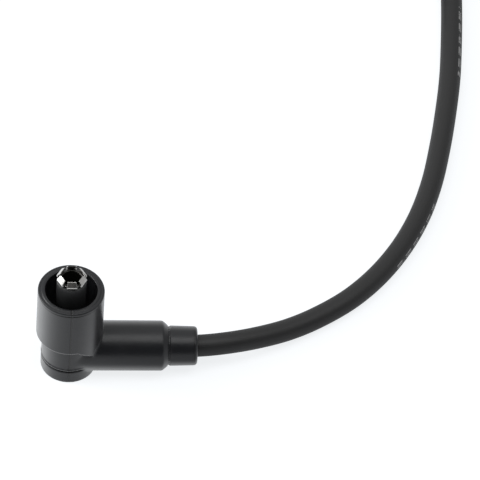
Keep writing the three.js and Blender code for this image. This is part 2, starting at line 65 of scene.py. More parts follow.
# The cable's way over the ground, in metres: x, y and the rise above the height at which it lies.
# The lead runs from the elbow boot's collar to the coil, the tail from the top of the coil to the plug boot.
LEAD_POINTS = [
    (0.0500, 0.0018, 0.0038),
    (0.0600, 0.0055, 0.0022),
    (0.0700, 0.0103, 0.0007),
    (0.0794, 0.0160, 0),
    (0.0897, 0.0236, 0),
    (0.0989, 0.0333, 0),
    (0.1069, 0.0450, 0),
    (0.1134, 0.0583, 0),
    (0.1182, 0.0728, 0),
    (0.1216, 0.0881, 0),
    (0.1243, 0.1036, 0),
    (0.1265, 0.1194, 0),
    (0.1278, 0.1354, 0),
    (0.1287, 0.1516, 0),
    (0.1291, 0.1680, 0),
    (0.1293, 0.1885, 0.0004),
]
TAIL_POINTS = [
    (0.1280, 0.2020, 0.01565),
    (0.1293, 0.2120, 0.01565),
    (0.1293, 0.2220, 0.01565),
    (0.1256, 0.2389, 0.01555),
    (0.1176, 0.2503, 0.0146),
    (0.1062, 0.2583, 0.0122),
    (0.0928, 0.2618, 0.0089),
    (0.0830, 0.2620, 0.0071),
]


def measure(name, description, default):
    """A size in metres, shown in the scene's own unit."""
    return FloatProperty(
        name=name, description=description, default=default, min=0, unit="LENGTH", subtype="DISTANCE"
    )


def colour(name, description, default):
    """A colour, in Blender's linear values."""
    return FloatVectorProperty(
        name=name, description=description, default=default, min=0, max=1, size=3, subtype="COLOR"
    )


def strength(name, description, default):
    """The strength of a light."""
    return FloatProperty(name=name, description=description, default=default, min=0)


class BootSizes(bpy.types.PropertyGroup):
    """Sizes of the elbow boot that the visible surface is made from."""

    flange_radius: measure("Flange Radius", "Radius of the base flange", 0.0087)
    flange_height: measure("Flange Height", "Height of the base flange", 0.00475)
    groove_height: measure("Groove Height", "Height of the groove above the flange", 0.0005)
    groove_depth: measure("Groove Depth", "Depth of the groove above the flange", 0.0007)
    bead_reach: measure("Bead Reach", "How far the bead at the neck's foot stands out", 0.00015)
    bead_height: measure("Bead Height", "Height of the bead at the neck's foot", 0.0007)
    neck_radius: measure("Neck Radius", "Radius of the neck between flange and cup", 0.0086)
    step_height: measure("Step Height", "Height of the underside of the cup", 0.01525)
    cup_radius: measure("Cup Radius", "Outside radius of the cup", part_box("elbow_boot")[1].y)
    cup_wall: measure("Cup Wall", "Thickness of the cup's wall", 0.0023)
    cup_floor: measure("Cup Floor", "Height of the cup's floor", 0.01725)
    rim_line: measure("Rim Line", "How far under the rim the parting line of the mould runs", 0.0012)
    rim_height: measure("Rim Height", "Height of the cup's rim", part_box("elbow_boot")[1].z)
    axis_height: measure("Sleeve Axis Height", "Height of the sleeve's axis", 0.008)
    sleeve_radius: measure("Sleeve Radius", "Radius of the sleeve at the neck", 0.0080)
    sleeve_taper: measure("Sleeve Taper", "Radius that the sleeve loses along its length", 0.0001)
    sleeve_length: measure("Sleeve Length", "Length of the sleeve from the stalk's axis", 0.0294)
    chamfer_length: measure("Chamfer Length", "Length of the cone at the sleeve's end", 0.0017)
    collar_radius: measure("Collar Radius", "Radius of the collar round the cable", 0.00635)
    collar_end: measure("Collar End", "Reach of the collar from the stalk's axis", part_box("elbow_boot")[1].x)
    gusset_start: measure("Gusset Start", "Where the gusset leaves the cup's underside", 0.0028)
    mesh_step: measure("Mesh Step", "Spacing of the surface mesh", 0.00027)


class StalkSizes(bpy.types.PropertyGroup):
    """Sizes of the stalk and of the crown contact on it."""

    radius: measure("Stalk Radius", "Radius of the stalk", 0.0047)
    top: measure("Stalk Top", "Height of the stalk's end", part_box("stalk_insulator")[1].z)
    bottom: measure("Stalk Bottom", "Height of the stalk's hidden end", 0.0165)
    sheet: measure("Crown Sheet", "Thickness of the crown's metal", 0.00036)
    skirt_radius: measure("Skirt Radius", "Radius of the crown's skirt in the stalk", 0.0035)
    seat_radius: measure("Seat Radius", "Radius of the crown's seat under the fingers", 0.0038)
    finger_foot: measure("Finger Foot", "Distance of a finger's foot from the axis", 0.00438)
    mouth_radius: measure("Mouth Radius", "Distance of a finger's tip from the axis", 0.00300)
    crown_top: measure("Crown Top", "Height of the fingers' tips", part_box("contact_crown")[1].z)
    slot_width: measure("Slot Width", "Width of a slot at its foot", 0.00115)
    slot_top: measure("Slot Top", "Width of a slot at the tips", 0.0011)
    fingers: IntProperty(name="Fingers", description="Fingers of the crown", default=6, min=3)


class CableSizes(bpy.types.PropertyGroup):
    """Sizes of the cable and of the coil that its spare length is wound in."""

    diameter: measure("Cable Diameter", "Outside diameter of the cable", 0.007)
    start: measure("Cable Start", "Where the cable starts inside the elbow boot", 0.0113)
    ground_gap: measure("Ground Gap", "Clearance under the lying cable", 0.00005)
    coil_x: measure("Coil X", "Middle of the coil along X", 0.0908)
    coil_y: measure("Coil Y", "Middle of the coil along Y", 0.212)
    coil_radius: measure("Coil Radius", "Radius of the cable's middle in the coil", 0.0385)
    coil_height: measure("Coil Height", "Height of the first turn's middle", 0.0049)
    pitch: measure("Turn Pitch", "Height from one turn to the next", 0.00715)
    turns: IntProperty(name="Turns", description="Turns of the coil", default=2, min=1)
    ring_step: measure("Ring Step", "Spacing of the rings along the cable", 0.0011)


class PlugBootSizes(bpy.types.PropertyGroup):
    """Sizes of the straight boot on the far end, and of the coil's ties."""

    entry: measure("Boot Entry", "Where the cable goes into the plug boot, along X", 0.076)
    middle_y: measure("Boot Place", "Middle of the plug boot along Y", 0.262)
    axis_height: measure("Boot Axis Height", "Height of the plug boot's axis", 0.010)
    boot_length: measure("Boot Length", "Length of the plug boot", 0.062)
    cable_end: measure("Cable End", "Where the cable ends inside the plug boot, along X", 0.0458)
    crimp_start: measure("Crimp Start", "From the boot's entry to the room for the crimp", 0.0187)
    crimp_room: measure("Crimp Room", "Radius of the room for the crimp", 0.0046)
    socket_start: measure("Socket Start", "From the boot's entry to the bore for the plug", 0.0313)
    neck_radius: measure("Neck Radius", "Radius of the neck round the cable", 0.0062)
    barrel_radius: measure("Barrel Radius", "Radius of the barrel", 0.00865)
    grip_radius: measure("Grip Radius", "Radius of the grip ribs and the mouth bead", 0.010)
    bore_radius: measure("Bore Radius", "Radius of the bore for the plug", 0.00525)
    tie_thickness: measure("Tie Thickness", "Thickness of a tie's strap", 0.0011)
    tie_width: measure("Tie Width", "Width of a tie's strap", 0.005)


class Finishes(bpy.types.PropertyGroup):
    """Colours of the lead's materials."""

    boot: colour("Boot Rubber", "Moulded rubber of both boots", (0.0106, 0.0116, 0.0142))
    jacket: colour("Cable Jacket", "Rubber of the cable", (0.0135, 0.0138, 0.0145))
    stalk: colour("Stalk Plastic", "Hard plastic of the stalk", (0.019, 0.020, 0.021))
    nickel: colour("Nickel", "Plating of the crown contact", (0.68, 0.675, 0.66))
    # A dark copy of the nickel for the crown's hollow: painted shade of the deep hole, not a duller plating.
    shaded_nickel_inside: colour("Painted Shade Nickel", "Inside of the crown contact", (0.06, 0.058, 0.055))
    brass: colour("Brass", "Terminals and caps", (0.62, 0.45, 0.19))
    steel: colour("Spring Steel", "Clip round the plug's socket", (0.50, 0.51, 0.52))
    ceramic: colour("Ceramic", "Body of the resistor", (0.70, 0.65, 0.56))
    nylon: colour("Tie Nylon", "Ties round the coil", (0.018, 0.018, 0.019))
    print: colour("Cable Marks", "Light marks along the cable", (0.60, 0.60, 0.60))


class StageSettings(bpy.types.PropertyGroup):
    """Camera, lamps and ground of the product shot."""

    azimuth: FloatProperty(
        name="Azimuth", description="Way that the camera looks", default=math.radians(-4.85), subtype="ANGLE"
    )
    elevation: FloatProperty(
        name="Elevation", description="Height of the camera", default=math.radians(48.45), subtype="ANGLE"
    )
    roll: FloatProperty(
        name="Roll",
        description="Turn of the camera about its view",
        default=math.radians(3.98),
        subtype="ANGLE",
    )
    distance: measure("Distance", "Distance from the camera to its aim", 2.5)
    lens: FloatProperty(name="Lens", description="Focal length in millimetres", default=594.75, min=1)
    aim: FloatVectorProperty(
        name="Aim",
        description="Point in the middle of the view",
        default=(0.0539, 0.02697, 0.02786),
        subtype="TRANSLATION",
        unit="LENGTH",
    )
    key_power: strength("Key Power", "Power of the soft lamp overhead", 10)
    side_power: strength("Side Power", "Power of the lamp on the left", 8)
    sky: strength("Sky", "Strength of the light all round", 0.28)


SETTINGS = {
    "lead_boot": BootSizes,
    "lead_stalk": StalkSizes,
    "lead_cable": CableSizes,
    "lead_plug_boot": PlugBootSizes,
    "lead_finishes": Finishes,
    "lead_stage": StageSettings,
}


def rounded(corners, steps=6):
    """The points of a closed outline whose corners (x, y, fillet) are rounded by arcs."""
    points = []
    for i, (x, y, *fillet) in enumerate(corners):
        corner = np.array([x, y], float)
        if not fillet or not fillet[0]:
            points.append(corner)
            continue
        before = np.array(corners[i - 1][:2], float) - corner
        after = np.array(corners[(i + 1) % len(corners)][:2], float) - corner
        before /= np.linalg.norm(before)
        after /= np.linalg.norm(after)
        half = math.acos(np.clip(before @ after, -1, 1)) / 2
        reach = fillet[0] / math.tan(half)
        middle = before + after
        centre = corner + middle / np.linalg.norm(middle) * fillet[0] / math.sin(half)
        start = corner + before * reach - centre
        sweep = math.pi - 2 * half
        turn = math.copysign(1, before[0] * after[1] - before[1] * after[0])
        for k in range(steps + 1):
            angle = -turn * sweep * k / steps
            c, s = math.cos(angle), math.sin(angle)
            points.append(centre + [start[0] * c - start[1] * s, start[0] * s + start[1] * c])
    return np.array(points)


def new_piece(name, points, faces, material):
    """A mesh object of the lead, in metres in the row frame, riding on its body."""
    mesh = bpy.data.meshes.new(name)
    mesh.from_pydata([tuple(p) for p in points], [], [tuple(f) for f in faces])
    mesh.validate()
    mesh.shade_smooth()
    mesh.materials.append(material)
    return placed(name, mesh)


def placed(name, mesh):
    """An object with the mesh, in the scene and riding on the lead's body."""
    piece = bpy.data.objects.new(name, mesh)
    bpy.context.scene.collection.objects.link(piece)
    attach(piece, BODY)
    return piece


def turned(outline, sides):
    """Points and faces of a closed outline (radius, height) turned about the Z axis."""
    angles = np.linspace(0, 2 * math.pi, sides, endpoint=False)
    r, z = outline.T
    points = np.stack(
        [np.outer(np.cos(angles), r), np.outer(np.sin(angles), r), np.tile(z, (sides, 1))], -1
    ).reshape(-1, 3)
    n = len(outline)
    i, j = np.meshgrid(np.arange(sides), np.arange(n), indexing="ij")
    a, b = i * n, (i + 1) % sides * n
    k = (j + 1) % n
    faces = np.stack([a + j, b + j, b + k, a + k], -1).reshape(-1, 4)
    return points, faces


def outline_distance(outline, x, y):
    """Signed distance from the points (x, y) to a closed outline, negative inside it."""
    nearest = np.full(x.shape, np.inf)
    inside = np.zeros(x.shape, bool)
    for (ax, ay), (bx, by) in zip(outline, np.roll(outline, -1, axis=0)):
        ex, ey = bx - ax, by - ay
        px, py = x - ax, y - ay
        t = np.clip((px * ex + py * ey) / (ex * ex + ey * ey), 0, 1)
        nearest = np.minimum(nearest, (px - t * ex) ** 2 + (py - t * ey) ** 2)
        if ay != by:
            inside ^= ((ay > y) != (by > y)) & (px < py * ex / ey)
    return np.sqrt(nearest) * np.where(inside, -1, 1)


def melt(a, b, width):
    """The union of two distances, with a fillet of about that width where they meet."""
    h = np.clip(width - np.abs(a - b), 0, None) / width
    return np.minimum(a, b) - h * h * width / 4


def slopes(distance, points, step):
    """The gradient of a distance function at the points."""
    found = []
    for axis in range(3):
        shift = np.zeros(3)
        shift[axis] = step / 4
        found.append((distance(points + shift) - distance(points - shift)) / (step / 2))
    return np.stack(found, -1)


def settle(distance, points, step):
    """Moves points onto the surface where the distance is zero."""
    for _ in range(3):
        slope = slopes(distance, points, step)
        size = np.maximum((slope**2).sum(1), 0.25)
        move = slope * (distance(points) / size)[:, None]
        points = points - np.clip(move, -step, step)
    return points


def wrapped(distance, low, high, step):
    """Points and faces of a mesh of even squares on the surface where the distance is zero."""
    axes = [np.arange(a, b + step, step) for a, b in zip(low, high)]
    grid = np.stack(np.meshgrid(*axes, indexing="ij"), -1)
    inside = distance(grid.reshape(-1, 3)).reshape(grid.shape[:3]) < 0
    count = sum(
        inside[i : i + grid.shape[0] - 1, j : j + grid.shape[1] - 1, k : k + grid.shape[2] - 1].astype(int)
        for i in (0, 1)
        for j in (0, 1)
        for k in (0, 1)
    )
    mixed = (count > 0) & (count < 8)
    number = np.full(mixed.shape, -1)
    number[mixed] = np.arange(mixed.sum())
    points = np.array(low) + (np.argwhere(mixed) + 0.5) * step
    faces = []
    for axis in range(3):
        order = (axis, (axis + 1) % 3, (axis + 2) % 3)
        solid, cell = inside.transpose(order), number.transpose(order)
        i, j, k = np.nonzero(solid[:-1, 1:-1, 1:-1] != solid[1:, 1:-1, 1:-1])
        square = np.stack([cell[i, j, k], cell[i, j + 1, k], cell[i, j + 1, k + 1], cell[i, j, k + 1]], -1)
        outward = solid[i, j + 1, k + 1]
        faces.append(np.where(outward[:, None], square, square[:, ::-1]))
    faces = np.concatenate(faces)
    points = settle(distance, points, step)
    edges = np.concatenate([faces[:, [k, (k + 1) % 4]] for k in range(4)])
    total, near = np.zeros_like(points), np.zeros(len(points))
    np.add.at(total, edges[:, 0], points[edges[:, 1]])
    np.add.at(near, edges[:, 0], 1)
    return settle(distance, (points + total / near[:, None]) / 2, step), faces


def add_node(tree, kind, inputs=None, **settings):
    """A node of a material, world or group; an input that is a node output becomes a link."""
    node = tree.nodes.new(kind)
    for key, value in settings.items():
        setattr(node, key, value)
    for key, value in (inputs or {}).items():
        if isinstance(value, bpy.types.NodeSocket):
            tree.links.new(value, node.inputs[key])
        else:
            node.inputs[key].default_value = value
    return node


def scaled(tree, value, factor, offset=0.0):
    """The value times a factor plus an offset, as a node output."""
    values = {0: value, 1: factor, 2: offset}
    return add_node(tree, "ShaderNodeMath", values, operation="MULTIPLY_ADD").outputs[0]


def combined(tree, operation, a, b=0.0):
    """One value, or two put together, by a math operation, as a node output."""
    return add_node(tree, "ShaderNodeMath", {0: a, 1: b}, operation=operation).outputs[0]


def vectors(tree, operation, inputs):
    """A vector math node's outputs."""
    return add_node(tree, "ShaderNodeVectorMath", inputs, operation=operation).outputs


def own_place(tree):
    """The place on the piece, in metres, as a node output."""
    return add_node(tree, "ShaderNodeTexCoord").outputs["Object"]


def ramp(tree, value, low, high, low_out=0.0, high_out=1.0):
    """The value mapped smoothly from one range to another, as a node output."""
    node = add_node(
        tree,
        "ShaderNodeMapRange",
        {"Value": value, "From Min": low, "From Max": high, "To Min": low_out, "To Max": high_out},
        interpolation_type="SMOOTHSTEP",
    )
    return node.outputs["Result"]


def mixed(tree, factor, a, b):
    """A mix of two colours by a factor, as a node output."""
    return add_node(tree, "ShaderNodeMix", {0: factor, 6: a, 7: b}, data_type="RGBA").outputs[2]


def noise(tree, place, scale, detail=3.0):
    """Noise at a place, as a node output from 0 to 1."""
    values = {"Vector": place, "Scale": scale, "Detail": detail, "Roughness": 0.55}
    return add_node(tree, "ShaderNodeTexNoise", values).outputs["Fac"]


def rgba(values):
    """A colour with full cover."""
    return (*values, 1.0)


def effect(name, inputs, outputs):
    """A new node group with named sockets, and its input and output nodes."""
    group = bpy.data.node_groups.new(name, "ShaderNodeTree")
    for label, kind, default in inputs:
        socket = group.interface.new_socket(label, in_out="INPUT", socket_type=kind)
        socket.default_value = default
    for label, kind in outputs:
        group.interface.new_socket(label, in_out="OUTPUT", socket_type=kind)
    return group, group.nodes.new("NodeGroupInput").outputs, group.nodes.new("NodeGroupOutput").inputs


def moulded_skin():
    """Rubber or plastic out of a mould: fine grain, cloudy sheen and a little dust."""
    group = bpy.data.node_groups.get("Moulded Skin")
    if group:
        return group
    group, given, result = effect(
        "Moulded Skin",
        [
            ("Color", "NodeSocketColor", (0.03, 0.03, 0.03, 1)),
            ("Roughness", "NodeSocketFloat", 0.5),
            ("Grain Scale", "NodeSocketFloat", 1800.0),
            ("Cloud Scale", "NodeSocketFloat", 90.0),
            ("Dust", "NodeSocketFloat", 0.1),
        ],
        [("Color", "NodeSocketColor"), ("Roughness", "NodeSocketFloat"), ("Height", "NodeSocketFloat")],
    )
    place = own_place(group)
    grain = noise(group, place, given["Grain Scale"], 4.0)
    cloud = noise(group, place, given["Cloud Scale"], 3.0)
    specks = ramp(group, noise(group, place, 3200.0, 1.0), 0.72, 0.80)
    dust = combined(group, "MULTIPLY", given["Dust"], combined(group, "ADD", cloud, specks))
    group.links.new(mixed(group, dust, given["Color"], (0.22, 0.21, 0.20, 1)), result["Color"])
    sheen = combined(group, "ADD", given["Roughness"], scaled(group, cloud, 0.16, -0.08))
    group.links.new(combined(group, "ADD", sheen, scaled(group, grain, 0.10, -0.05)), result["Roughness"])
    group.links.new(grain, result["Height"])
    return group


def seam_and_painted_shade():
    """The fine line that the halves of a mould leave where they meet, as a groove or step in the bump, with
    its colour darkened as painted shade.
    """
    group = bpy.data.node_groups.get("Mould Seam and Painted Shade")
    if group:
        return group
    group, given, result = effect(
        "Mould Seam and Painted Shade",
        [
            ("Color", "NodeSocketColor", (0.03, 0.03, 0.03, 1)),
            ("Height", "NodeSocketFloat", 0.5),
            ("Across", "NodeSocketVector", (1, 0, 0)),
            ("Place", "NodeSocketFloat", 0.0),
            ("Half Width", "NodeSocketFloat", 0.00012),
            ("Groove", "NodeSocketFloat", 6.0),
            ("Step", "NodeSocketFloat", 0.0),
        ],
        [("Color", "NodeSocketColor"), ("Height", "NodeSocketFloat")],
    )
    place = own_place(group)
    along = vectors(group, "DOT_PRODUCT", {0: place, 1: given["Across"]})["Value"]
    waver = scaled(group, noise(group, place, 400.0, 2.0), 0.00008, -0.00004)
    shifted = combined(group, "ADD", combined(group, "SUBTRACT", along, given["Place"]), waver)
    signed = combined(group, "DIVIDE", shifted, given["Half Width"])
    line = ramp(group, combined(group, "ABSOLUTE", signed), 0.7, 1.5, 1.0, 0.0)
    # The line's colour is pulled almost to black: painted shade of the seam's groove, which the mesh is too
    # coarse to shade.
    tint = mixed(group, scaled(group, line, 0.9), given["Color"], (0.002, 0.002, 0.002, 1))
    group.links.new(tint, result["Color"])
    grooved = combined(group, "SUBTRACT", given["Height"], combined(group, "MULTIPLY", line, given["Groove"]))
    lower = combined(group, "MULTIPLY", ramp(group, signed, -1.2, 1.2), given["Step"])
    group.links.new(combined(group, "SUBTRACT", grooved, lower), result["Height"])
    return group


def worked_metal():
    """Formed sheet metal: drawing lines, handling scratches and a faint tarnish."""
    group = bpy.data.node_groups.get("Worked Metal")
    if group:
        return group
    group, given, result = effect(
        "Worked Metal",
        [
            ("Color", "NodeSocketColor", (0.8, 0.8, 0.8, 1)),
            ("Roughness", "NodeSocketFloat", 0.2),
            ("Tarnish", "NodeSocketFloat", 0.2),
            ("Line Scale", "NodeSocketFloat", 900.0),
        ],
        [("Color", "NodeSocketColor"), ("Roughness", "NodeSocketFloat"), ("Height", "NodeSocketFloat")],
    )
    place = own_place(group)
    stretched = vectors(group, "MULTIPLY", {0: place, 1: (1, 1, 0.12)})["Vector"]
    lines = noise(group, stretched, given["Line Scale"], 3.0)
    stain = ramp(group, noise(group, place, 260.0, 3.0), 0.45, 0.75)
    amount = combined(group, "MULTIPLY", stain, given["Tarnish"])
    group.links.new(mixed(group, amount, given["Color"], (0.33, 0.29, 0.24, 1)), result["Color"])
    rough = combined(group, "ADD", given["Roughness"], scaled(group, lines, 0.10, -0.05))
    group.links.new(combined(group, "ADD", rough, scaled(group, amount, 0.25)), result["Roughness"])
    group.links.new(lines, result["Height"])
    return group


def new_material(name, **plain):
    """A material with a Principled shader, whose plain values are set on its own sockets."""
    material = bpy.data.materials.new(name)
    material.use_nodes = True
    tree = material.node_tree
    shader = tree.nodes["Principled BSDF"]
    for label, value in plain.items():
        shader.inputs[label.replace("_", " ")].default_value = value
    return material, tree, shader


def surfaced(tree, shader, tint, roughness, height, distance):
    """Links a colour, a roughness and, through a bump, a height to the shader."""
    tree.links.new(tint, shader.inputs["Base Color"])
    tree.links.new(roughness, shader.inputs["Roughness"])
    bump = add_node(tree, "ShaderNodeBump", {"Height": height, "Distance": distance, "Strength": 1.0})
    tree.links.new(bump.outputs["Normal"], shader.inputs["Normal"])


def fill_group(tree, group, inputs):
    """The outputs of a group placed in a material."""
    return add_node(tree, "ShaderNodeGroup", inputs, node_tree=group).outputs


def skinned(tree, tint, roughness, grain, cloud, dust):
    """The outputs of a moulded skin placed in a material."""
    values = {"Color": tint, "Roughness": roughness, "Grain Scale": grain, "Cloud Scale": cloud, "Dust": dust}
    return fill_group(tree, moulded_skin(), values)


def boot_rubber(name, colour_values, seams):
    """Satin black rubber of a moulded boot, with seams: direction, place, half width, groove and step; each
    seam's line is darkened in colour as painted shade.
    """
    material, tree, shader = new_material(name, Specular_IOR_Level=0.5, Coat_IOR=2.0, Coat_Roughness=0.3)
    facing = add_node(tree, "ShaderNodeLayerWeight", {"Blend": 0.5}).outputs["Facing"]
    tree.links.new(ramp(tree, facing, 0.30, 0.68, 0.0, 0.85), shader.inputs["Coat Weight"])
    skin = skinned(tree, rgba(colour_values), 0.36, 1500.0, 110.0, 0.02)
    tint, height = skin["Color"], skin["Height"]
    flat = vectors(tree, "MULTIPLY", {0: own_place(tree), 1: (1, 1, 0)})["Vector"]
    from_axis = vectors(tree, "LENGTH", {0: flat})["Value"]
    outside = ramp(tree, from_axis, 0.0090, 0.0096)
    # Each seam darkens the colour along its line: painted shade of its groove or step.
    for across, place, half_width, groove, step in seams:
        step = scaled(tree, outside, step)
        values = {"Across": across, "Place": place, "Half Width": half_width, "Groove": groove, "Step": step}
        seam = fill_group(tree, seam_and_painted_shade(), {"Color": tint, "Height": height, **values})
        tint, height = seam["Color"], seam["Height"]
    surfaced(tree, shader, tint, skin["Roughness"], height, 0.00003)
    return material


def cable_rubber(colour_values, mark_values):
    """Matt black rubber of the cable, with plain light dashes along its outer side."""
    material, tree, shader = new_material("Cable Jacket", Specular_IOR_Level=0.5)
    map_node = add_node(tree, "ShaderNodeUVMap", uv_map="Jacket")
    parts = add_node(tree, "ShaderNodeSeparateXYZ", {"Vector": map_node.outputs["UV"]}).outputs
    turn, along = parts["X"], parts["Y"]
    twist, mark_turn, line_offset = 0.7583, 0.4515, 0.018
    dash_length, row_length, row_offset, first_mark = 0.0052, 0.086, 0.802, 0.080
    twisted = combined(tree, "SUBTRACT", turn, scaled(tree, along, twist, mark_turn))
    nearest = combined(tree, "FRACT", combined(tree, "ADD", twisted, 0.5))
    side = combined(tree, "ABSOLUTE", combined(tree, "SUBTRACT", nearest, 0.5))
    off_line = combined(tree, "ABSOLUTE", combined(tree, "SUBTRACT", side, line_offset))
    band = ramp(tree, off_line, 0.006, 0.009, 1.0, 0.0)
    dash = combined(tree, "FRACT", scaled(tree, along, 1 / dash_length))
    dashes = combined(tree, "MULTIPLY", ramp(tree, dash, 0.10, 0.14), ramp(tree, dash, 0.76, 0.80, 1.0, 0.0))
    row = combined(tree, "FRACT", scaled(tree, along, 1 / row_length, row_offset))
    in_row = combined(tree, "MULTIPLY", ramp(tree, row, 0.0, 0.004), ramp(tree, row, 0.350, 0.354, 1.0, 0.0))
    rows = combined(tree, "MULTIPLY", in_row, ramp(tree, along, first_mark, first_mark + 0.001))
    worn = ramp(tree, noise(tree, own_place(tree), 1400.0), 0.30, 0.50)
    printed = combined(tree, "MULTIPLY", band, dashes)
    marks = combined(tree, "MULTIPLY", printed, combined(tree, "MULTIPLY", rows, worn))
    base = mixed(tree, marks, rgba(colour_values), rgba(mark_values))
    skin = skinned(tree, base, 0.48, 2200.0, 70.0, 0.02)
    stretched = {"X": scaled(tree, turn, 60.0), "Y": scaled(tree, along, 25.0)}
    drawn = add_node(tree, "ShaderNodeCombineXYZ", stretched).outputs["Vector"]
    height = combined(tree, "ADD", skin["Height"], noise(tree, drawn, 1.0, 2.0))
    surfaced(tree, shader, skin["Color"], skin["Roughness"], height, 0.00003)
    return material


def hard_plastic(name, colour_values, roughness, dust):
    """Smooth hard plastic, such as the stalk's and the ties'."""
    material, tree, shader = new_material(name, Specular_IOR_Level=0.5)
    skin = skinned(tree, rgba(colour_values), roughness, 900.0, 150.0, dust)
    surfaced(tree, shader, skin["Color"], skin["Roughness"], skin["Height"], 0.00001)
    return material


def sheet_metal(name, colour_values, roughness, tarnish, line_scale):
    """Metal of the crown, the terminals or the clip."""
    material, tree, shader = new_material(name, Metallic=1.0)
    metal = fill_group(
        tree,
        worked_metal(),
        {"Color": rgba(colour_values), "Roughness": roughness, "Tarnish": tarnish, "Line Scale": line_scale},
    )
    surfaced(tree, shader, metal["Color"], metal["Roughness"], metal["Height"], 0.00001)
    return material


def fired_ceramic(colour_values):
    """Unglazed ceramic of the resistor's body."""
    material, tree, shader = new_material("Resistor Ceramic")
    place = own_place(tree)
    fleck = ramp(tree, noise(tree, place, 2600.0, 2.0), 0.62, 0.74)
    tint = mixed(tree, scaled(tree, fleck, 0.5), rgba(colour_values), (0.42, 0.36, 0.28, 1))
    rough = ramp(tree, noise(tree, place, 700.0), 0.3, 0.7, 0.55, 0.75)
    surfaced(tree, shader, tint, rough, noise(tree, place, 3000.0), 0.00003)
    return material


def spread(points, step):
    """Points at even steps along a smooth curve through the given ones."""
    points = np.array(points, float)
    ends = np.vstack([2 * points[0] - points[1], points, 2 * points[-1] - points[-2]])
    fine = []
    for i in range(1, len(ends) - 2):
        a, b, c, d = ends[i - 1 : i + 3]
        u, v, w = (np.linalg.norm(q - p) ** 0.5 for p, q in ((a, b), (b, c), (c, d)))
        start = ((b - a) / u - (c - a) / (u + v) + (c - b) / v) * v
        end = ((c - b) / v - (d - b) / (v + w) + (d - c) / w) * v
        for t in np.linspace(0, 1, 24, endpoint=False):
            fine.append(
                b
                + start * t
                + (3 * (c - b) - 2 * start - end) * t**2
                + (2 * (b - c) + start + end) * t**3
            )
    fine.append(points[-1])
    fine = np.array(fine)
    run = np.concatenate([[0], np.cumsum(np.linalg.norm(np.diff(fine, axis=0), axis=1))])
    places = np.linspace(0, run[-1], max(2, round(run[-1] / step)) + 1)
    return np.stack([np.interp(places, run, fine[:, k]) for k in range(3)], -1)


def cable_route(cable, boot, plug):
    """The points that the whole cable follows, from the elbow boot's inside to the plug boot's."""
    lying = cable.diameter / 2 + cable.ground_gap
    axis = boot.axis_height
    middle = (cable.start + boot.collar_end) / 2
    route = [(cable.start, 0, axis), (middle, 0, axis), (boot.collar_end, 0, axis)]
    route += [(x, y, lying + rise) for x, y, rise in LEAD_POINTS]
    for degrees in range(0, 360 * cable.turns - 15, 12):
        turn, rest = divmod(degrees, 360)
        climb = min(max((rest - 265) / 80, 0), 1)
        rise = turn + climb * climb * (3 - 2 * climb)
        a = math.radians(degrees)
        route.append(
            (
                cable.coil_x + cable.coil_radius * math.cos(a),
                cable.coil_y + cable.coil_radius * math.sin(a),
                cable.coil_height + cable.pitch * rise,
            )
        )
    route += [(x, y, lying + rise) for x, y, rise in TAIL_POINTS]
    entry, cable_end, row, height = plug.entry, plug.cable_end, plug.middle_y, plug.axis_height
    route += [(entry, row, height), ((entry + cable_end) / 2, row, height), (cable_end, row, height)]
    return route


def tube(path, radius, sides):
    """Points, faces and map of a round tube with closed ends; the map is turn and length."""
    ahead = np.gradient(path, axis=0)
    ahead /= np.linalg.norm(ahead, axis=1)[:, None]
    outer = np.cross(ahead, [0, 0, 1])
    outer /= np.linalg.norm(outer, axis=1)[:, None]
    upper = np.cross(outer, ahead)
    angles = np.linspace(0, 2 * math.pi, sides, endpoint=False) - math.pi
    ring = np.cos(angles)[None, :, None] * outer[:, None] + np.sin(angles)[None, :, None] * upper[:, None]
    points = (path[:, None] + ring * radius).reshape(-1, 3)
    run = np.concatenate([[0], np.cumsum(np.linalg.norm(np.diff(path, axis=0), axis=1))])
    i, j = (grid.ravel() for grid in np.meshgrid(np.arange(len(path) - 1), np.arange(sides), indexing="ij"))
    k = (j + 1) % sides
    faces = np.stack([i * sides + j, (i + 1) * sides + j, (i + 1) * sides + k, i * sides + k], -1).tolist()
    turn = j / sides
    corners = np.stack(
        [
            np.stack([turn, run[i]], -1),
            np.stack([turn, run[i + 1]], -1),
            np.stack([turn + 1 / sides, run[i + 1]], -1),
            np.stack([turn + 1 / sides, run[i]], -1),
        ],
        1,
    ).reshape(-1, 2)
    first = list(range(sides))
    last = [(len(path) - 1) * sides + n for n in range(sides)][::-1]
    corners = np.vstack([corners, np.zeros((2 * sides, 2))])
    return points, faces + [first, last], corners


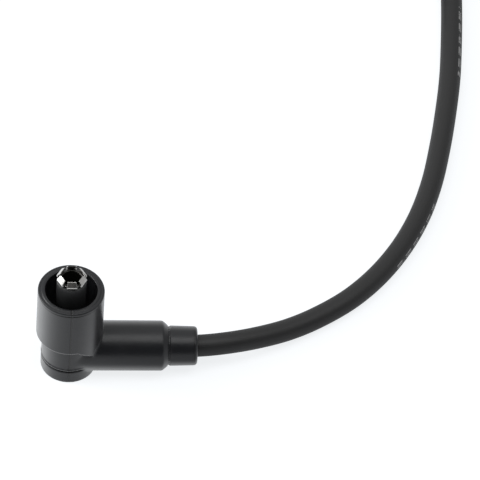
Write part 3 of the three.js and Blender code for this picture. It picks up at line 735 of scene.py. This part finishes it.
def boot_distance(boot, stalk, cable):
    """The distance function of the elbow boot's rubber."""
    groove_top = boot.flange_height + boot.groove_height
    bead_top = groove_top + boot.bead_height
    deep = -0.006
    bore = stalk.radius + STALK_CLEARANCE
    bore_floor = stalk.bottom - 0.0003
    inner = boot.cup_radius - boot.cup_wall
    upright = rounded(
        [
            (deep, 0),
            (boot.flange_radius, 0, 0.00025),
            (boot.flange_radius, boot.flange_height, 0.00025),
            (boot.neck_radius - boot.groove_depth, boot.flange_height, 0.0002),
            (boot.neck_radius - boot.groove_depth, groove_top, 0.0002),
            (boot.neck_radius + boot.bead_reach, groove_top, 0.0002),
            (boot.neck_radius + boot.bead_reach, bead_top, 0.0001),
            (boot.neck_radius, bead_top),
            (boot.neck_radius, boot.step_height, 0.0002),
            (boot.cup_radius, boot.step_height, 0.0005),
            (boot.cup_radius, boot.rim_height, 0.00045),
            (inner, boot.rim_height, 0.00025),
            (inner, boot.cup_floor, 0.0012),
            (bore, boot.cup_floor, 0.0003),
            (bore, bore_floor),
            (deep, bore_floor),
        ]
    )
    chamfer_end = boot.sleeve_length + boot.chamfer_length
    groove_end = chamfer_end + 0.0006
    groove_radius = boot.collar_radius - 0.0003
    bore_end = boot.collar_end - CABLE_BORE_DEPTH
    cable_bore = cable.diameter / 2 + CABLE_CLEARANCE
    sleeve = rounded(
        [
            (0, deep),
            (0, boot.sleeve_radius),
            (boot.sleeve_length, boot.sleeve_radius - boot.sleeve_taper, 0.0014),
            (chamfer_end, boot.collar_radius + 0.0001, 0.0003),
            (chamfer_end, groove_radius),
            (groove_end, groove_radius),
            (groove_end, boot.collar_radius, 0.0002),
            (boot.collar_end, boot.collar_radius - 0.0002, 0.0011),
            (boot.collar_end, cable_bore, 0.0003),
            (bore_end, cable_bore),
            (bore_end, deep),
        ]
    )
    gusset_slope = 1.22
    steep = math.hypot(1, gusset_slope)
    overlap = 0.0008
    fillet = 0.0006

    def distance(points):
        x, y, z = points.T
        radius = np.hypot(x, y)
        plane = (boot.gusset_start + (boot.step_height - z) * gusset_slope - x) / steep
        top = z - boot.step_height - overlap
        gusset = np.maximum.reduce([radius - boot.cup_radius, plane, boot.axis_height - z, top])
        body = np.minimum(outline_distance(upright, radius, z), gusset)
        return melt(body, outline_distance(sleeve, x, np.hypot(y, z - boot.axis_height)), fillet)

    return distance


def bent_strip(path, widths, thickness, edge):
    """Points and faces of a strip of sheet metal that follows a path (radius, height) along X and Z."""
    ahead = np.gradient(path, axis=0)
    ahead /= np.linalg.norm(ahead, axis=1)[:, None]
    normal = np.stack([ahead[:, 1], -ahead[:, 0]], -1)
    section = rounded([(1, 1, edge), (-1, 1, edge), (-1, -1, edge), (1, -1, edge)], 3)
    half = thickness / 2
    rings = []
    for place, way, width in zip(path, normal, widths):
        across = np.sign(section[:, 0]) * (width - (1 - np.abs(section[:, 0])) * half)
        depth = section[:, 1] * half
        centre = place[None] + way[None] * depth[:, None]
        rings.append(np.stack([centre[:, 0], across, centre[:, 1]], -1))
    n = len(section)
    points = np.concatenate(rings)
    faces = [
        ((i + 1) * n + j, (i + 1) * n + (j + 1) % n, i * n + (j + 1) % n, i * n + j)
        for i in range(len(rings) - 1)
        for j in range(n)
    ]
    faces += [tuple(range(n)), tuple((len(rings) - 1) * n + j for j in range(n))[::-1]]
    return points, faces


def joined(parts):
    """Points and faces of several meshes as one."""
    points, faces, count = [], [], 0
    for some_points, some_faces in parts:
        points.append(np.asarray(some_points))
        faces += [tuple(int(v) + count for v in face) for face in some_faces]
        count += len(some_points)
    return np.concatenate(points), faces


def turn_about_z(points, angle):
    """The points turned about the Z axis."""
    c, s = math.cos(angle), math.sin(angle)
    return np.asarray(points) @ np.array([[c, s, 0], [-s, c, 0], [0, 0, 1]])


def crown_mesh(stalk):
    """Points and faces of the crown: skirt, rolled-out seat and the ring of leaning fingers."""
    sheet = stalk.sheet
    seat = stalk.top + 0.0003
    seat_top = seat + sheet
    skirt = stalk.skirt_radius
    edge = sheet * 0.35
    floor = seat - 0.006
    near_axis = 0.00001
    cup = rounded(
        [
            (near_axis, floor),
            (skirt, floor, 0.0006),
            (skirt, seat, 0.0002),
            (stalk.seat_radius, seat, edge),
            (stalk.seat_radius, seat_top, edge),
            (skirt - sheet, seat_top, 0.0004),
            (skirt - sheet, floor + sheet, 0.0003),
            (near_axis, floor + sheet),
        ],
        4,
    )
    bend = 0.00048
    foot = np.array([stalk.finger_foot - bend, seat + sheet / 2 + bend])
    tip = np.array([stalk.mouth_radius + sheet / 2, stalk.crown_top - sheet / 4])
    reach = np.linalg.norm(tip - foot)
    lean = math.atan2(*(tip - foot)[::-1]) - math.acos(bend / reach)
    path = [(skirt - sheet, seat + sheet / 2)]
    path += [foot + bend * np.array([math.cos(a), math.sin(a)]) for a in np.linspace(-math.pi / 2, lean, 9)]
    path += [path[-1] + (tip - path[-1]) * t for t in (0.25, 0.5, 0.75, 0.93, 1.0)]
    path = np.array(path)
    step = math.pi / stalk.fingers
    low = stalk.radius * math.sin(step) - stalk.slot_width / 2 - 0.0001
    high = (tip[0] + sheet / 2) * math.tan(step) - stalk.slot_top / 2 / math.cos(step)
    run = np.concatenate([[0], np.cumsum(np.linalg.norm(np.diff(path, axis=0), axis=1))])
    straight = run[4]
    widths = low + (high - low) * np.clip((run - straight) / (run[-1] - straight), 0, 1)
    parted = path[:, 0] * math.tan(step) - stalk.slot_width / 2 / math.cos(step)
    widths = np.where(np.arange(len(path)) < 9, np.minimum(widths, parted), widths)
    widths[-1] -= 0.0001
    strip, strip_faces = bent_strip(path, widths, sheet, 0.45)
    fingers = [
        (turn_about_z(strip, 2 * step * (i + 0.5)), strip_faces) for i in range(stalk.fingers)
    ]
    return joined([turned(cup, 96)] + fingers)


def settings_of(context, *names):
    """The named groups of the lead's settings."""
    return [getattr(context.scene, "lead_" + name) for name in names]


class LEAD_OT_stage(bpy.types.Operator):
    """Set up the white ground, the soft light and the camera"""

    bl_idname = "ignition_lead.stage"
    bl_label = "Set Up Stage"

    def execute(self, context):
        (stage,) = settings_of(context, "stage")
        scene = context.scene
        scene.view_settings.view_transform = "Standard"

        turn = (
            Matrix.Rotation(stage.azimuth, 4, "Z")
            @ Matrix.Rotation(math.pi / 2 - stage.elevation, 4, "X")
            @ Matrix.Rotation(stage.roll, 4, "Z")
        )
        lens = bpy.data.cameras.new("Product Camera")
        lens.sensor_width = 36
        lens.lens = stage.lens
        lens.clip_start = 0.05
        lens.clip_end = 50
        camera = bpy.data.objects.new("Product Camera", lens)
        aim, back = Matrix.Translation(Vector(stage.aim)), Matrix.Translation((0, 0, stage.distance))
        camera.matrix_world = aim @ turn @ back
        scene.collection.objects.link(camera)
        scene.camera = camera

        mesh = bpy.data.meshes.new("Ground")
        mesh.from_pydata([(-4, -4, 0), (4, -4, 0), (4, 4, 0), (-4, 4, 0)], [], [(0, 1, 2, 3)])
        mesh.materials.append(ground_white())
        ground = bpy.data.objects.new("Ground", mesh)
        scene.collection.objects.link(ground)

        soft_lamp("Overhead Softbox", (0.05, -0.22, 1.5), (0.05, 0.05, 0), (2.2, 0.8), stage.key_power)
        soft_lamp("Left Softbox", (-1.1, 0.25, 0.55), (0, 0.02, 0.02), (0.5, 1.0), stage.side_power)
        scene.world = studio_world(stage.sky)
        return {"FINISHED"}


def soft_lamp(name, place, aim, size, power):
    """A rectangular lamp that points at a spot."""
    lamp = bpy.data.lights.new(name, "AREA")
    lamp.shape = "RECTANGLE"
    lamp.size, lamp.size_y = size
    lamp.energy = power
    rig = bpy.data.objects.new(name, lamp)
    way = Vector(aim) - Vector(place)
    rig.matrix_world = Matrix.Translation(place) @ way.to_track_quat("-Z", "Y").to_matrix().to_4x4()
    bpy.context.scene.collection.objects.link(rig)


def ground_white():
    """White ground that stays white to the camera, keeps the shadow and is dimmer in gloss on the right."""
    material, tree, shader = new_material("Ground White", Roughness=0.9, Specular_IOR_Level=0.0)
    shader.inputs["Base Color"].default_value = (0.36, 0.365, 0.38, 1)
    shader.inputs["Emission Color"].default_value = (0.965, 0.985, 1, 1)
    across = add_node(tree, "ShaderNodeSeparateXYZ", {"Vector": own_place(tree)}).outputs["X"]
    path = add_node(tree, "ShaderNodeLightPath").outputs
    in_gloss = combined(tree, "MULTIPLY", path["Is Glossy Ray"], ramp(tree, across, -0.03, 0.05, 1.0, 0.5))
    direct = combined(tree, "MAXIMUM", path["Is Camera Ray"], path["Is Transmission Ray"])
    glow = scaled(tree, combined(tree, "MAXIMUM", direct, in_gloss), 0.81)
    tree.links.new(glow, shader.inputs["Emission Strength"])
    return material


def studio_world(sky):
    """White all round to the camera, and a plain light that is dimmer from the camera's side."""
    world = bpy.data.worlds.new("Studio")
    world.use_nodes = True
    tree = world.node_tree
    tree.nodes.clear()
    place = add_node(tree, "ShaderNodeTexCoord").outputs["Generated"]
    camera_way = (0.0, -0.82, 0.57)
    toward = vectors(tree, "DOT_PRODUCT", {0: place, 1: camera_way})["Value"]
    dark_side = ramp(tree, toward, 0.35, 0.92, 0.72, 0.05)
    across = add_node(tree, "ShaderNodeSeparateXYZ", {"Vector": place}).outputs["X"]
    dimmer_right = combined(tree, "MULTIPLY", dark_side, ramp(tree, across, 0.0, 0.9, 1.0, 0.6))
    light, gloss, seen = (
        add_node(tree, "ShaderNodeBackground", {"Color": (1, 1, 1, 1), "Strength": strength}).outputs[0]
        for strength in (sky, dimmer_right, 1.0)
    )
    path = add_node(tree, "ShaderNodeLightPath").outputs
    direct = combined(tree, "MAXIMUM", path["Is Camera Ray"], path["Is Transmission Ray"])
    in_gloss = path["Is Glossy Ray"]
    indirect = add_node(tree, "ShaderNodeMixShader", {0: in_gloss, 1: light, 2: gloss}).outputs[0]
    whole = add_node(tree, "ShaderNodeMixShader", {0: direct, 1: indirect, 2: seen}).outputs[0]
    add_node(tree, "ShaderNodeOutputWorld", {"Surface": whole})
    return world


class LEAD_OT_cable(bpy.types.Operator):
    """Make the cable, from the elbow boot over the ground and round its coil to the plug boot"""

    bl_idname = "ignition_lead.cable"
    bl_label = "Make Cable"

    def execute(self, context):
        boot, cable, plug, finishes = settings_of(context, "boot", "cable", "plug_boot", "finishes")
        path = spread(cable_route(cable, boot, plug), cable.ring_step)
        points, faces, corners = tube(path, cable.diameter / 2, 28)
        material = cable_rubber(finishes.jacket, finishes.print)
        piece = new_piece("ignition_cable", points, faces, material)
        uv = piece.data.uv_layers.new(name="Jacket")
        uv.data.foreach_set("uv", corners.ravel())
        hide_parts("cable_lead", "cable_coil", "cable_tail")
        return {"FINISHED"}


class LEAD_OT_elbow_boot(bpy.types.Operator):
    """Make the moulded elbow boot with its cup, neck, flange and sleeve"""

    bl_idname = "ignition_lead.elbow_boot"
    bl_label = "Make Elbow Boot"

    def execute(self, context):
        boot, stalk, cable, finishes = settings_of(context, "boot", "stalk", "cable", "finishes")
        step = boot.mesh_step * 1
        # With 2.4 steps of room the grid meets no edge of the boot in a way that pinches the mesh.
        room = np.full(3, 2.4 * step)
        low, high = (np.array(corner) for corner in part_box("elbow_boot"))
        points, faces = wrapped(boot_distance(boot, stalk, cable), low - room, high + room, step)
        # The parting seam, the line under the rim and the line near the collar's end; each is darkened in
        # colour as painted shade of its groove or step.
        seams = [
            ((1, 0, 0), 0.0, 0.00024, 6.0, 0.0),
            ((0, 0, 1), boot.rim_height - boot.rim_line, 0.0002, 0.0, 10.0),
            ((1, 0, 0), boot.collar_end - 0.0011, 0.00012, 4.0, 0.0),
        ]
        material = boot_rubber("Elbow Boot Rubber", finishes.boot, seams)
        piece = new_piece("elbow_boot_skin", points, faces.tolist(), material)
        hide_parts("elbow_boot")
        return {"FINISHED"}


class LEAD_OT_stalk(bpy.types.Operator):
    """Make the hard stalk in the cup and the crown contact on its end"""

    bl_idname = "ignition_lead.stalk"
    bl_label = "Make Stalk and Crown"

    def execute(self, context):
        stalk, finishes = settings_of(context, "stalk", "finishes")
        bore = stalk.skirt_radius + 0.0003
        outline = rounded(
            [
                (stalk.radius - 0.001, stalk.bottom),
                (stalk.radius, stalk.bottom, 0.0003),
                (stalk.radius, stalk.top, 0.00045),
                (bore, stalk.top, 0.0002),
                (bore, stalk.bottom + 0.004),
                (stalk.radius - 0.001, stalk.bottom + 0.004),
            ]
        )
        piece = new_piece(
            "stalk_body", *turned(outline, 128), hard_plastic("Stalk Plastic", finishes.stalk, 0.40, 0.02)
        )
        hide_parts("stalk_insulator")
        bright = sheet_metal("Bright Nickel", finishes.nickel, 0.24, 0.35, 1500.0)
        crown = new_piece("crown_fingers", *crown_mesh(stalk), bright)
        # The hollow inside the crown, the inward faces and the roots of the fingers get the dark copy of the
        # nickel: painted shade of the deep hole.
        crown.data.materials.append(sheet_metal("Painted Shade Nickel", finishes.shaded_nickel_inside, 0.45, 0.0, 900.0))
        hollow = stalk.skirt_radius - stalk.sheet + 0.0002
        for face in crown.data.polygons:
            x, y, z = face.center
            reach = math.hypot(x, y)
            inward = (x * face.normal.x + y * face.normal.y) / reach < -0.5
            root = z < stalk.top + 0.001 and reach < stalk.finger_foot - 0.0004 and face.normal.z > 0.3
            face.material_index = int(inward or root or (reach < hollow and z < stalk.top))
        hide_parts("contact_crown")
        return {"FINISHED"}


class LEAD_OT_plug_boot(bpy.types.Operator):
    """Make the straight boot on the far end of the cable"""

    bl_idname = "ignition_lead.plug_boot"
    bl_label = "Make Plug Boot"

    def execute(self, context):
        cable, plug, finishes = settings_of(context, "cable", "plug_boot", "finishes")
        edge = 0.0008
        cable_bore = cable.diameter / 2 + CABLE_CLEARANCE
        ribs = []
        for start in RIB_STARTS:
            ribs += [
                (plug.barrel_radius, start, 0.0004),
                (plug.grip_radius, start, edge),
                (plug.grip_radius, start + RIB_WIDTH, edge),
                (plug.barrel_radius, start + RIB_WIDTH, 0.0004),
            ]
        outline = rounded(
            [
                (cable_bore, 0, 0.0004),
                (plug.neck_radius, 0, edge),
                (plug.neck_radius, 0.009, 0.0006),
                (plug.barrel_radius, 0.0125, 0.0008),
                *ribs,
                (plug.barrel_radius, plug.boot_length - 0.005, 0.0004),
                (plug.grip_radius, plug.boot_length - 0.005, edge),
                (plug.grip_radius, plug.boot_length, edge),
                (plug.bore_radius + 0.001, plug.boot_length, 0.0003),
                (plug.bore_radius, plug.boot_length - 0.002, 0.0004),
                (plug.bore_radius, plug.socket_start, 0.0003),
                (plug.crimp_room, plug.socket_start),
                (plug.crimp_room, plug.crimp_start),
                (cable_bore, plug.crimp_start),
            ]
        )
        points, faces = turned(outline, 128)
        up, aside, along = points.T
        points = np.stack([plug.entry - along, plug.middle_y + aside, plug.axis_height + up], -1)
        faces = faces[:, ::-1] if mesh_is_inside_out(points, faces) else faces
        # The seam's line is darkened in colour as painted shade of its groove.
        seam = ((0, 1, 0), plug.middle_y, 0.00016, 4.0, 0.0)
        material = boot_rubber("Plug Boot Rubber", finishes.boot, [seam])
        piece = new_piece("plug_boot_skin", points, faces.tolist(), material)
        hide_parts("plug_boot")
        return {"FINISHED"}


def mesh_is_inside_out(points, faces):
    """Whether a closed mesh of squares has its faces pointing in."""
    a, b, c, d = (points[faces[:, k]] for k in range(4))
    return float((np.cross(c - a, d - b) * (a + b + c + d)).sum()) < 0


class LEAD_OT_ties(bpy.types.Operator):
    """Make the ties that hold the coil"""

    bl_idname = "ignition_lead.ties"
    bl_label = "Make Coil Ties"

    def execute(self, context):
        cable, plug, finishes = settings_of(context, "cable", "plug_boot", "finishes")
        material = hard_plastic("Tie Nylon", finishes.nylon, 0.38, 0.05)
        half = cable.diameter / 2
        gap = 0.0003
        inner = cable.coil_radius - half - gap
        outer = cable.coil_radius + half + gap
        strap = plug.tie_thickness
        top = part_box("coil_tie_1")[1].z - strap
        edge = half / 2
        head = (strap + top) / 2
        head_low, head_high, head_reach = head - 0.003, head + 0.003, outer + strap + 0.0026
        band = rounded(
            [
                (inner - strap, 0, edge),
                (outer + strap, 0, edge),
                (outer + strap, head_low, 0.0002),
                (head_reach, head_low, 0.0005),
                (head_reach, head_high, 0.0005),
                (outer + strap, head_high, 0.0002),
                (outer + strap, top + strap, edge),
                (inner - strap, top + strap, edge),
            ]
        )
        corners = ((inner, strap), (outer, strap), (outer, top), (inner, top))
        hole = rounded([(*corner, edge / 2) for corner in corners])
        for number, degrees in enumerate(TIE_ANGLES, 1):
            piece = banded(f"tie_strap_{number}", band, hole, plug.tie_width, 0.00022, material)
            middle = Matrix.Translation((cable.coil_x, cable.coil_y, 0))
            piece.data.transform(middle @ Matrix.Rotation(math.radians(degrees), 4, "Z"))
            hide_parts(f"coil_tie_{number}")
        return {"FINISHED"}


def banded(name, band, hole, width, edge, material):
    """A flat outline with a hole, drawn out to a width along Y, with bevelled edges."""
    flat = bmesh.new()
    loops = []
    for outline in (band, hole):
        ring = [flat.verts.new((x, width / 2, z)) for x, z in outline]
        loops.append([flat.edges.new((ring[k - 1], ring[k])) for k in range(len(ring))])
    filled = bmesh.ops.triangle_fill(flat, use_beauty=True, edges=loops[0] + loops[1])
    sheet = [face for face in filled["geom"] if isinstance(face, bmesh.types.BMFace)]
    drawn = bmesh.ops.extrude_face_region(flat, geom=sheet)
    moved = [vert for vert in drawn["geom"] if isinstance(vert, bmesh.types.BMVert)]
    bmesh.ops.translate(flat, verts=moved, vec=(0, -width, 0))
    bmesh.ops.recalc_face_normals(flat, faces=flat.faces)
    sharp = [e for e in flat.edges if len(e.link_faces) == 2 and e.calc_face_angle(0) > 1.2]
    bmesh.ops.bevel(flat, geom=sharp, offset=edge, segments=3, affect="EDGES", profile=0.5)
    mesh = bpy.data.meshes.new(name)
    flat.to_mesh(mesh)
    flat.free()
    mesh.materials.append(material)
    mesh.shade_smooth()
    mesh.set_sharp_from_angle(angle=math.radians(40))
    return placed(name, mesh)


class LEAD_OT_inner_metal(bpy.types.Operator):
    """Finish the terminals, the clip and the resistor with its caps"""

    bl_idname = "ignition_lead.inner_metal"
    bl_label = "Finish Terminals and Resistor"

    def execute(self, context):
        (finishes,) = settings_of(context, "finishes")
        brass = sheet_metal("Drawn Brass", finishes.brass, 0.28, 0.5, 700.0)
        steel = sheet_metal("Spring Steel", finishes.steel, 0.22, 0.15, 1200.0)
        ceramic = fired_ceramic(finishes.ceramic)
        finish = {
            "elbow_terminal": brass,
            "plug_terminal": brass,
            "resistor_cap_lower": brass,
            "resistor_cap_upper": brass,
            "terminal_clip": steel,
            "suppression_resistor": ceramic,
        }
        for node, material in finish.items():
            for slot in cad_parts[node].material_slots:
                slot.material = material
        return {"FINISHED"}


class LEAD_OT_declare(bpy.types.Operator):
    """Work out the cable's path and gather the pieces on it, without stating or keeping either"""

    bl_idname = "ignition_lead.declare"
    bl_label = "Measure Cable"

    def execute(self, context):
        boot, cable, plug = settings_of(context, "boot", "cable", "plug_boot")
        path = spread(cable_route(cable, boot, plug), 4 * cable.ring_step)
        on_cable = [bpy.data.objects[name] for name in ("tie_strap_1", "tie_strap_2", "plug_boot_skin")]
        on_cable += [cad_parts[name] for name in ("plug_terminal", "terminal_clip")]
        return {"FINISHED"}


OPERATORS = (
    LEAD_OT_stage,
    LEAD_OT_cable,
    LEAD_OT_elbow_boot,
    LEAD_OT_stalk,
    LEAD_OT_plug_boot,
    LEAD_OT_ties,
    LEAD_OT_inner_metal,
    LEAD_OT_declare,
)


class LEAD_PT_pieces(bpy.types.Panel):
    """Sidebar panel with the lead's pieces, sizes and finishes"""

    bl_idname = "LEAD_PT_pieces"
    bl_label = "Ignition Lead"
    bl_space_type = "VIEW_3D"
    bl_region_type = "UI"
    bl_category = "Ignition Lead"

    def draw(self, context):
        for operator in OPERATORS:
            self.layout.operator(operator.bl_idname)
        for name in SETTINGS:
            settings = getattr(context.scene, name)
            box = self.layout.box()
            for field in settings.__annotations__:
                box.prop(settings, field)


def register():
    for kind in (*SETTINGS.values(), *OPERATORS, LEAD_PT_pieces):
        bpy.utils.register_class(kind)
    for name, kind in SETTINGS.items():
        setattr(bpy.types.Scene, name, PointerProperty(type=kind))


def unregister():
    for name in SETTINGS:
        delattr(bpy.types.Scene, name)
    for kind in reversed((*SETTINGS.values(), *OPERATORS, LEAD_PT_pieces)):
        bpy.utils.unregister_class(kind)


def main():
    register()
    for operator in OPERATORS:
        group, name = operator.bl_idname.split(".")
        getattr(getattr(bpy.ops, group), name)()


if __name__ == "__main__":
    main()
